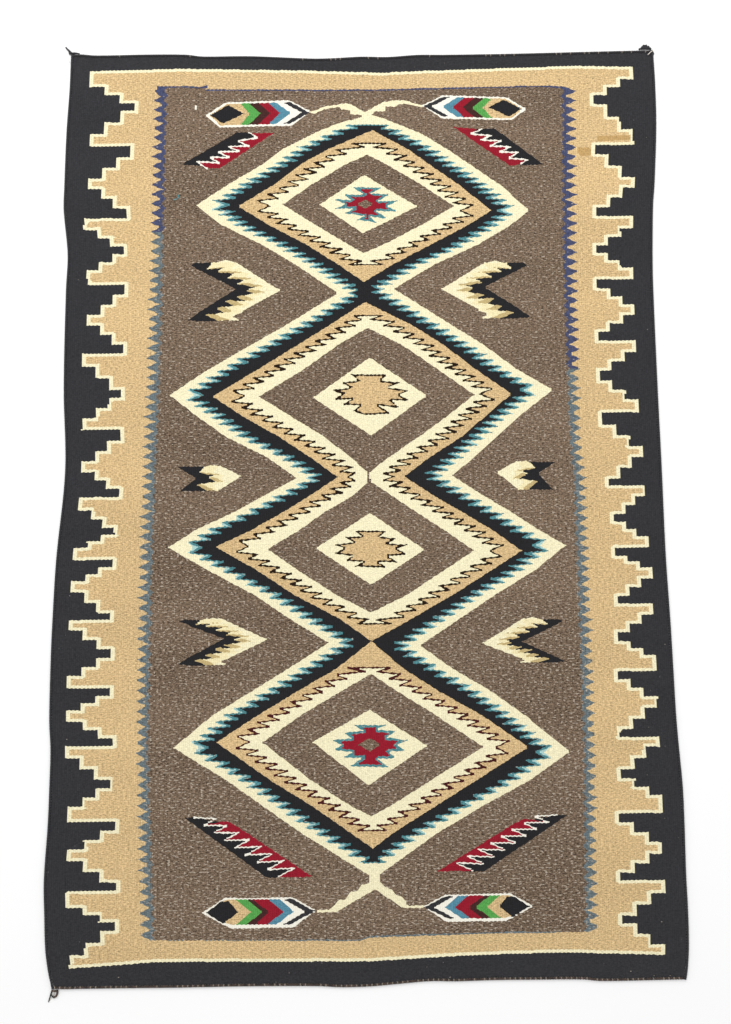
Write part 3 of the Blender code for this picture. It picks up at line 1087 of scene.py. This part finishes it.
def woven_wool(name):
    """Wool of one colour, woven: beads of weft over ribs, each a little different."""
    screen_colour, bead_spread, yarn_spread, grain_spread, bands, pale, dark = WOOLS[name]
    nodes = Nodes("wool_" + name)
    warp, row, _ = nodes.split(nodes.add("UVMap", {}, uv_map=WEAVE_MAP)[0])
    column = nodes.math("FLOOR", warp)
    parity = nodes.math("MODULO", column, 2.0)
    bead = nodes.math("DIVIDE", nodes.math("SUBTRACT", row, parity), 2.0)
    seed = float(COLOUR_ORDER.index(name))
    x, y, _ = nodes.split(nodes.places())
    cloth_place = nodes.vector(x, nodes.math("MULTIPLY", y, LENGTHWISE), seed)
    noises = [
        nodes.chance(nodes.vector(column, nodes.math("FLOOR", bead), seed)),
        nodes.noise(cloth_place, **GRAIN),
    ]
    for steps, detail in ((YARN_STEPS, 2.0), (BAND_STEPS, 3.0)):
        by_warp = nodes.math("MULTIPLY", warp, steps[0])
        by_pass = nodes.math("MULTIPLY", row, steps[1])
        noises.append(nodes.noise(nodes.vector(by_warp, by_pass, seed), detail=detail))
    level = BRIGHTNESS
    for noise, spread in zip(noises, (bead_spread, grain_spread, yarn_spread, bands)):
        level = nodes.math("MULTIPLY_ADD", nodes.math("SUBTRACT", noise, 0.5), spread, level)
    from_crest = nodes.off_middle(warp)
    from_middle = nodes.off_middle(bead)
    for distance, (power, depth) in ((from_crest, VALLEY_SHADE), (from_middle, SEAM_SHADE)):
        level = nodes.math("MULTIPLY_ADD", nodes.math("POWER", distance, power), depth, level)
    colour = nodes.scaled(linear(screen_colour)[:3], nodes.math("MAXIMUM", level, DARKEST))
    flecks = nodes.noise(cloth_place, scale=FLECK_SCALE, detail=0.0)
    flecks = nodes.math("MULTIPLY_ADD", row, -FLECKS_NEAR / PASSES, flecks)
    for start, blur, (fleck, most) in (
        (pale, FLECK_BLUR, PALE_FLECK), (dark, -FLECK_BLUR, DARK_FLECK),
    ):
        if start:
            share = nodes.math("MULTIPLY", nodes.ramp(flecks, start, start + blur), most)
            colour = nodes.blend(share, colour, linear(fleck))
    rounding = nodes.math("SUBTRACT", from_crest, nodes.math("MULTIPLY", from_crest, from_crest))
    bead_round = nodes.math("SUBTRACT", 1.0, nodes.math("POWER", from_middle, 3.0))
    height = nodes.math("MULTIPLY", rounding, RIB_DEPTH)
    height = nodes.math("MULTIPLY_ADD", bead_round, BEAD_BULGE, height)
    fibre = nodes.noise(nodes.places(), scale=FIBRE_SCALE, detail=1.0)
    height = nodes.math("MULTIPLY_ADD", fibre, FIBRE_BULGE, height)
    normal = nodes.bump(height, 1.0)
    nodes.fill(nodes.shader, {"Base Color": colour, "Normal": normal, **WOOL_FINISH})
    return nodes.material


# Yarns of the cords: two colours, share of the second, and share of the places
# where a pale warp end shows through
CORD_YARNS = {
    "dark_yarn": ((50, 50, 53), (66, 65, 66), 0.3, 0.0),
    "brown_yarn": ((84, 66, 58), (44, 38, 36), 0.4, 0.0),
    "pale_yarn": ((226, 218, 206), (198, 184, 176), 0.3, 0.0),
    "top_cord_yarn": ((52, 50, 52), (70, 66, 64), 0.3, 0.2),
    "bottom_cord_yarn": ((80, 66, 58), (46, 42, 40), 0.5, 0.75),
}
LOOP_PITCH = 0.0089
LOOP_COLOUR = (198, 184, 166)
LOOP_WIDTH = 0.2
LOOP_SHARE = 0.45
PATCHES = {"scale": 180.0, "detail": 3.0, "roughness": 0.6}
PATCH_BLUR = 0.08
CORD_FIBRE_SCALE = 1500.0
CORD_LIGHT = (0.7, 0.65)
CORD_FIBRE_BULGE = 0.0003
CORD_FINISH = {
    "Roughness": 0.9, "Specular IOR Level": 0.2, "Sheen Weight": 0.15, "Sheen Roughness": 0.5,
}


def cord_wool(name):
    """Twisted yarn of two wools, with fine fibres along it."""
    first, second, share, loops = CORD_YARNS[name]
    nodes = Nodes(name)
    places = nodes.places()
    middle = 1.0 - share
    picked = nodes.ramp(nodes.noise(places, **PATCHES), middle - PATCH_BLUR, middle + PATCH_BLUR)
    fibres = nodes.noise(places, scale=CORD_FIBRE_SCALE, detail=2.0)
    light = nodes.math("MULTIPLY_ADD", fibres, *CORD_LIGHT)
    wool = nodes.scaled(nodes.blend(picked, linear(first), linear(second)), light)
    if loops:
        turn = nodes.math("DIVIDE", nodes.split(places)[0], LOOP_PITCH)
        number = nodes.math("FLOOR", turn)
        shown = nodes.math("LESS_THAN", nodes.chance(nodes.vector(number, 0.0)), loops)
        near = nodes.math("LESS_THAN", nodes.math("FRACT", turn), LOOP_WIDTH)
        dot = nodes.math("MULTIPLY", nodes.math("MULTIPLY", shown, near), LOOP_SHARE)
        wool = nodes.blend(dot, wool, linear(LOOP_COLOUR))
    normal = nodes.bump(fibres, CORD_FIBRE_BULGE)
    nodes.fill(nodes.shader, {"Base Color": wool, "Normal": normal, **CORD_FINISH})
    return nodes.material


def add_mesh(name, places, faces, materials, smooth=True):
    mesh = bpy.data.meshes.new(name)
    mesh.from_pydata([tuple(place) for place in places], [], faces)
    for material in materials:
        mesh.materials.append(material)
    mesh.polygons.foreach_set("use_smooth", [smooth] * len(mesh.polygons))
    thing = bpy.data.objects.new(name, mesh)
    bpy.context.scene.collection.objects.link(thing)
    return thing


# Bake map: the upper side at the left, the rest at the right, both to one scale
BAKE_CORNER = (0.57, 0.87)
BAKE_SIZE = 2.32
BAKE_SHIFT = 0.5
NUDGE = 1e-3


def make_cloth():
    """The woven cloth: both sides and rim as one closed mesh."""
    beads = woven_colours()
    columns = column_breaks(beads)
    cloth = ClothMesh()
    upper, crests = weave_side(cloth, columns, True)
    plain = beads.copy()
    for colour, stand_in in UNDERSIDE_COLOURS:
        plain[beads == COLOUR_ORDER.index(colour)] = COLOUR_ORDER.index(stand_in)
    under = column_breaks(plain)
    lower, _ = weave_side(cloth, under, False)
    close_rim(cloth, columns, upper, lower, crests)
    weave = np.array(cloth.places)
    x, y = rug_place(weave[:, 0] / WARPS, weave[:, 1] / PASSES, CLOTH_INSET, CLOTH_INSET)
    places = np.column_stack((x, y, weave[:, 2]))
    materials = [woven_wool(name) for name in COLOUR_ORDER]
    thing = add_mesh("rug_weave", places, cloth.faces, materials, smooth=False)
    mesh = thing.data
    mesh.polygons.foreach_set("material_index", cloth.colours)
    corners = np.zeros(len(mesh.loops), np.int32)
    mesh.loops.foreach_get("vertex_index", corners)
    sizes = [len(face) for face in cloth.faces]
    middles = np.repeat(np.array([weave[face, 0].mean() for face in cloth.faces]), sizes)
    nudged = weave[corners, 0:2].copy()
    nudged[:, 0] += np.sign(middles - nudged[:, 0]) * NUDGE
    bake = (places[corners, 0:2] + BAKE_CORNER) / BAKE_SIZE
    bake[~np.repeat(np.array(cloth.upper), sizes), 0] += BAKE_SHIFT
    for name, flat in ((WEAVE_MAP, nudged), ("OFBake", bake)):
        layer = mesh.uv_layers.new(name=name)
        layer.data.foreach_set("uv", flat.astype(np.float32).ravel())
    return thing


# Edge cords: two plies twisted together
PLY_STEPS = 8
PLY_CORNERS = 10
CORD_TURN = 0.0095
CORD_WAIST = 0.17
CORD_SWELL = 0.0001
CORD_RADIUS = CORD_INSET + CORD_SWELL
SIDE_POINTS = 161
END_POINTS = 121


def ply_ring(middle, along, radius, waist, distance, turn):
    """Places round a two-ply yarn, at a distance along it."""
    across = Vector((-along.y, along.x, 0.0))
    angle = 2 * math.pi * distance / turn
    places = []
    for corner in range(PLY_CORNERS):
        turned = 2 * math.pi * corner / PLY_CORNERS
        reach = radius * (1 - waist * math.sin(turned) ** 2)
        way = turned + angle
        rise = Vector((0, 0, reach * math.sin(way)))
        places.append(middle + across * (reach * math.cos(way)) + rise)
    return places


def ply_faces(first, steps):
    """Faces of a closed tube of rings, from its first place on."""
    end = first + steps * PLY_CORNERS
    faces = []
    for low in range(first, end, PLY_CORNERS):
        high = low + PLY_CORNERS
        for corner in range(PLY_CORNERS):
            after = (corner + 1) % PLY_CORNERS
            faces.append((low + corner, low + after, high + after, high + corner))
    faces.append(tuple(reversed(range(first, first + PLY_CORNERS))))
    faces.append(tuple(range(end, end + PLY_CORNERS)))
    return faces


def twisted_cord(name, line, material):
    """A two-ply cord along the points of a line, lying on the floor."""
    line = [Vector((x, y, 0.0)) for x, y in line]
    lengths = [0.0]
    for start, end in zip(line, line[1:]):
        lengths.append(lengths[-1] + (end - start).length)
    steps = int(lengths[-1] / CORD_TURN * PLY_STEPS)
    places = []
    for step in range(steps + 1):
        distance = lengths[-1] * step / steps
        index = min(int(np.searchsorted(lengths, distance, side="right")) - 1, len(line) - 2)
        share = (distance - lengths[index]) / (lengths[index + 1] - lengths[index])
        middle = line[index].lerp(line[index + 1], share)
        middle.z = CORD_RADIUS
        along = (line[index + 1] - line[index]).normalized()
        places.extend(ply_ring(middle, along, CORD_RADIUS, CORD_WAIST, distance, CORD_TURN))
    return add_mesh(name, places, ply_faces(0, steps), [material])


def make_edge_cords(dark, top, bottom):
    cords = []
    for node, u in (("side_cord_left", 0.0), ("side_cord_right", 1.0)):
        v = np.linspace(0, 1, SIDE_POINTS)
        line = zip(*rug_place(np.full_like(v, u), v, CORD_INSET, 0.0))
        cords.append((twisted_cord(node + "_twist", line, dark), node, "side_cord"))
    for node, v, yarn in (("end_cord_bottom", 0.0, bottom), ("end_cord_top", 1.0, top)):
        u = np.linspace(0, 1, END_POINTS)
        line = zip(*rug_place(u, np.full_like(u, v), CLOTH_INSET, CORD_INSET))
        cords.append((twisted_cord(node + "_twist", line, yarn), node, "end_cord"))
    return cords


# Knotted cord ends at three corners. Columns of a corner: x, side of the rug
CORNERS = (("top_left", -545.5, 1), ("top_right", 544, 1), ("bottom_left", -543, -1))
FIRST_STEP = 0.0028
PLY_WAIST = 0.26
STRAND_STEPS = 24
STRAND_TURN = 0.005

# Columns of a strand: across and outwards for its bends, thickness at the root and
# at the tip, height of its underside, yarn
STRANDS = {
    "top_left": (
        (((1, 0), (-3, 5), (-8, 10), (-10.5, 13.5)), 4.6, 2.8, 0.0, 0),
        (((-4, 0), (-1, 1), (3, 0.5), (7, 0)), 4.8, 4.0, 0.0, 0),
        (((4, 1), (8, 1.5), (12, 1), (16, 0.5)), 3.6, 2.0, 0.0, 0),
        (((-3.5, -11), (-3, -16), (-1.5, -20)), 1.2, 1.0, 4.4, 2),
    ),
    "top_right": (
        (((-12, 0), (-9.5, 1), (-6, 2)), 3.6, 3.6, 0.0, 0),
        (((-7.5, 0), (-6.5, 3), (-5, 6)), 4.6, 3.6, 0.0, 0),
        (((-4.5, 0), (-3.5, 4), (-3, 8.5)), 4.8, 3.4, 0.0, 0),
        (((-1, 0), (-0.5, 4), (-1, 8)), 4.8, 3.6, 0.3, 0),
        (((2.5, 0), (3, 4), (2, 8.8)), 4.8, 3.4, 0.0, 0),
        (((6, 0), (6.8, 3), (5.8, 6.5)), 4.6, 3.4, 0.2, 0),
        (((9.5, -1), (10, 1), (8.5, 3.5)), 4.2, 3.0, 0.0, 0),
        (((3.5, -13), (6.5, -10), (10.5, -6.5), (14, -4.5)), 2.2, 2.0, 4.4, 2),
        (((14, -4.5), (16, -8.5), (13, -13), (11, -16)), 2.4, 2.0, 0.0, 0),
    ),
    "bottom_left": (
        (((-4, 0), (-6, 6), (-8, 13), (-10, 19.7)), 3.0, 1.8, 0.0, 0),
        (((5, 0), (5.5, 4), (3.5, 9), (-1, 11.8)), 4.2, 3.8, 0.0, 1),
        (((-1, 11.8), (-3.5, 9.5), (-6, 6)), 3.0, 2.4, 0.2, 0),
        (((-1, 0), (-1.2, 4), (-2, 8)), 3.4, 2.8, 0.0, 2),
        (((-4.5, 11.5), (-6, 14.5), (-8, 17)), 1.8, 1.2, 0.0, 2),
        (((-5, 0), (-1, 1), (3, 1), (6, 0)), 3.6, 3.4, 0.0, 1),
    ),
}


def smooth_path(bends, steps):
    """Points on a smooth curve through a strand's bends."""
    bends = np.array(bends) * MM
    last = len(bends) - 1
    points = []
    for step in range(steps + 1):
        place = last * step / steps
        row = min(int(place), last - 1)
        t = place - row
        leave = (bends[row + 1] - bends[max(row - 1, 0)]) / 2
        arrive = (bends[min(row + 2, last)] - bends[row]) / 2
        points.append(curve(t, bends[row], leave, bends[row + 1], arrive))
    return points


def add_strand(places, faces, path, root, tip, lift):
    """Adds one two-ply strand lying on the floor to lists of places and faces."""
    count = len(path) - 1
    first = len(places)
    distance = 0.0
    for index, point in enumerate(path):
        ahead = Vector(path[min(index + 1, count)])
        behind = Vector(path[max(index - 1, 0)])
        along = (ahead - behind).normalized()
        if index:
            distance += (Vector(point) - Vector(path[index - 1])).length
        radius = (root + (tip - root) * index / count) / 2
        middle = Vector((*point, radius + lift))
        places.extend(ply_ring(middle, along, radius, PLY_WAIST, distance, STRAND_TURN))
    faces.extend(ply_faces(first, count))


def make_tassels(*yarns):
    tassels = []
    for corner, x, outward in CORNERS:
        across = x * MM
        reader = far_edge if outward > 0 else near_edge
        edge = float(reader(across)[0]) + outward * FIRST_STEP
        places = []
        faces = []
        used = []
        for bends, root, tip, lift, yarn in STRANDS[corner]:
            path = [
                (across + point[0], edge + outward * point[1])
                for point in smooth_path(bends, STRAND_STEPS)
            ]
            add_strand(places, faces, path, root * MM, tip * MM, lift * MM)
            used.extend([yarn] * (len(faces) - len(used)))
        tassel = add_mesh("tassel_" + corner + "_yarn", places, faces, yarns)
        tassel.data.polygons.foreach_set("material_index", used)
        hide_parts("tassel_" + corner)
        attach(tassel, "root")
        tassels.append(tassel)
    return tassels


# Camera, in the rug's frame
LENS = 35.0
SENSOR = 36.0
TILT = math.radians(5.3)
ROLL = math.radians(-0.5)
DISTANCE = 1.81
TARGET = Vector((0.0055, -0.023, 0.0))


def make_camera():
    forward = Vector((0.0, math.sin(TILT), -math.cos(TILT)))
    side = Vector((1.0, 0.0, 0.0))
    rise = side.cross(forward)
    right = side * math.cos(ROLL) + rise * math.sin(ROLL)
    up = rise * math.cos(ROLL) - side * math.sin(ROLL)
    data = bpy.data.cameras.new("camera")
    data.lens = LENS
    data.sensor_width = SENSOR
    data.dof.use_dof = False
    camera = bpy.data.objects.new("camera", data)
    turn = Matrix((right, up, -forward)).transposed().to_4x4()
    camera.matrix_world = Matrix.Translation(TARGET - forward * DISTANCE) @ turn
    bpy.context.scene.collection.objects.link(camera)
    bpy.context.scene.camera = camera


FLOOR_FINISH = {
    "Base Color": (0.97, 0.97, 0.97, 1.0), "Roughness": 0.8, "Specular IOR Level": 0.1,
}
FLOOR_DROP = -0.0002
SKY_STRENGTH = 0.80
LAMP_PLACE = Vector((-0.3, 1.9, 2.5))
LAMP_SIZE = 2.2
LAMP_POWER = 48.0
FLOOR_HALF = 7.0


def make_studio():
    world = bpy.data.worlds.new("studio")
    world.use_nodes = True
    background = world.node_tree.nodes["Background"]
    background.inputs["Color"].default_value = (1.0, 1.0, 1.0, 1.0)
    background.inputs["Strength"].default_value = SKY_STRENGTH
    bpy.context.scene.world = world
    bpy.context.scene.view_settings.view_transform = "Standard"
    data = bpy.data.lights.new("window", "AREA")
    data.shape = "SQUARE"
    data.size = LAMP_SIZE
    data.energy = LAMP_POWER
    lamp = bpy.data.objects.new("window", data)
    lamp.location = LAMP_PLACE
    lamp.rotation_euler = (-LAMP_PLACE).to_track_quat("-Z", "Y").to_euler()
    bpy.context.scene.collection.objects.link(lamp)
    nodes = Nodes("floor_paint")
    nodes.fill(nodes.shader, FLOOR_FINISH)
    corners = [(-1, -1), (1, -1), (1, 1), (-1, 1)]
    places = [(x * FLOOR_HALF, y * FLOOR_HALF, FLOOR_DROP) for x, y in corners]
    floor = add_mesh("floor", places, [(0, 1, 2, 3)], [nodes.material])


def main():
    paint_border()
    paint_diamonds()
    paint_figures()
    cloth = make_cloth()
    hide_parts("rug_cloth")
    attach(cloth, "root")
    dark, brown, pale, top, bottom = [cord_wool(name) for name in CORD_YARNS]
    for cord, node, slot in make_edge_cords(dark, top, bottom):
        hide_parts(node)
        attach(cord, "root")
    tassels = make_tassels(dark, brown, pale)
    make_camera()
    make_studio()


main()
